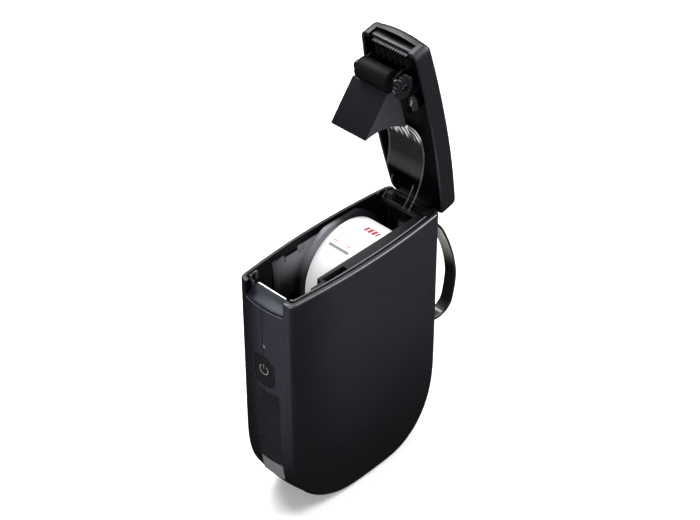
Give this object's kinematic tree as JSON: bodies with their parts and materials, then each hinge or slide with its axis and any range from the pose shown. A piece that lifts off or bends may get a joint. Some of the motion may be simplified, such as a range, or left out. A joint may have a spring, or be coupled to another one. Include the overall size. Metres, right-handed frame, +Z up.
{
  "type": "pocket label printer",
  "caption": "Slim pocket label printer with barrel sides and a rounded base, its hinged lid open over a label roll, with feed roller, tear edge, power button and carry strap.",
  "frame": {"origin": "middle of the flat strip that the printer stands on", "axes": "+Z up towards the lid, front face with the button towards -Y, thickness along X"},
  "size_m": [0.029, 0.0973, 0.1717],
  "materials": {
    "case": "fine satin moulding texture, near black",
    "inner_plastic": "smooth black moulding",
    "smoked_clear": "clear smoky polycarbonate",
    "head_ceramic": "white alumina",
    "aluminium": "plain rolled sheet",
    "steel": "bright drawn steel",
    "brass": "cut brass",
    "gear_plastic": "natural acetal",
    "dark_gear": "dark grey acetal",
    "board": "green solder mask",
    "chip": "black moulding compound",
    "light": "clear light pipe",
    "battery_wrap": "foil pouch",
    "strap": "smooth glossy black band",
    "film": "thin clear film",
    "film_tab": "frosted grey film",
    "button": "satin black cap",
    "label_paper": "smooth white thermal paper",
    "core_board": "wound board tube",
    "blade": "moulded saw-toothed edge",
    "bush": "black acetal",
    "roller_rubber": "ground satin rubber"
  },
  "bodies": {
    "case": {"left_shell": "case", "right_shell": "case", "inner_frame": "inner_plastic", "paper_exit_tray": "smoked_clear", "print_head": "head_ceramic", "head_heatsink": "aluminium", "head_spring": "steel", "gap_sensor": "chip", "feed_motor": "steel", "gear_bracket": "steel", "gear_axles": "steel", "main_board": "board", "board_chips": "chip", "board_screws": "steel", "usb_socket": "steel", "button_board": "board", "power_switch": "chip", "status_led": "light", "led_window": "light", "battery": "battery_wrap", "strap": "strap", "strap_anchors": "inner_plastic", "front_film": "film", "film_tab": "film_tab", "hinge_pin": "steel"},
    "lid": {"lid_cover": "case", "lid_frame": "inner_plastic", "tear_blade": "blade", "guide_wedge": "inner_plastic", "roll_guard": "smoked_clear", "lid_catches": "inner_plastic", "platen_bushes": "bush"},
    "platen": {"platen_roller": "roller_rubber", "platen_shaft": "steel", "platen_gear": "dark_gear"},
    "roll": {"label_roll": "label_paper", "roll_core": "core_board"},
    "button": {"power_button": "button"},
    "drive": {"drive_gear": "gear_plastic"},
    "idler": {"idler_gear": "gear_plastic"},
    "pinion": {"motor_pinion": "brass"}
  },
  "joints": [
    {"name": "lid_hinge", "type": "hinge", "parent": "case", "child": "lid", "pos_m": [0, 0.0364, 0.0975], "axis": [-1, 0, 0], "range_deg": [-77, 0]},
    {"name": "platen_spin", "type": "hinge", "parent": "lid", "child": "platen", "pos_m": [0, 0.01873, 0.15849], "axis": [1, 0, 0], "continuous": true},
    {"name": "roll_spin", "type": "hinge", "parent": "case", "child": "roll", "pos_m": [0, 0.011, 0.0784], "axis": [1, 0, 0], "continuous": true},
    {"name": "power_press", "type": "slide", "parent": "case", "child": "button", "axis": [0, 1, 0], "range_m": [0, 0.0005], "stiffness_N_per_m": 800, "springref_m": -0.0005},
    {"name": "drive_spin", "type": "hinge", "parent": "case", "child": "drive", "pos_m": [0, -0.02495, 0.08436], "axis": [1, 0, 0], "continuous": true},
    {"name": "idler_spin", "type": "hinge", "parent": "case", "child": "idler", "pos_m": [0, -0.02335, 0.07526], "axis": [1, 0, 0], "continuous": true},
    {"name": "pinion_spin", "type": "hinge", "parent": "case", "child": "pinion", "pos_m": [0, -0.02335, 0.06854], "axis": [1, 0, 0], "continuous": true}
  ],
  "couplings": [
    {"joint": "idler_spin", "follows": "drive_spin", "ratio": -1.2},
    {"joint": "pinion_spin", "follows": "drive_spin", "ratio": 2}
  ]
}
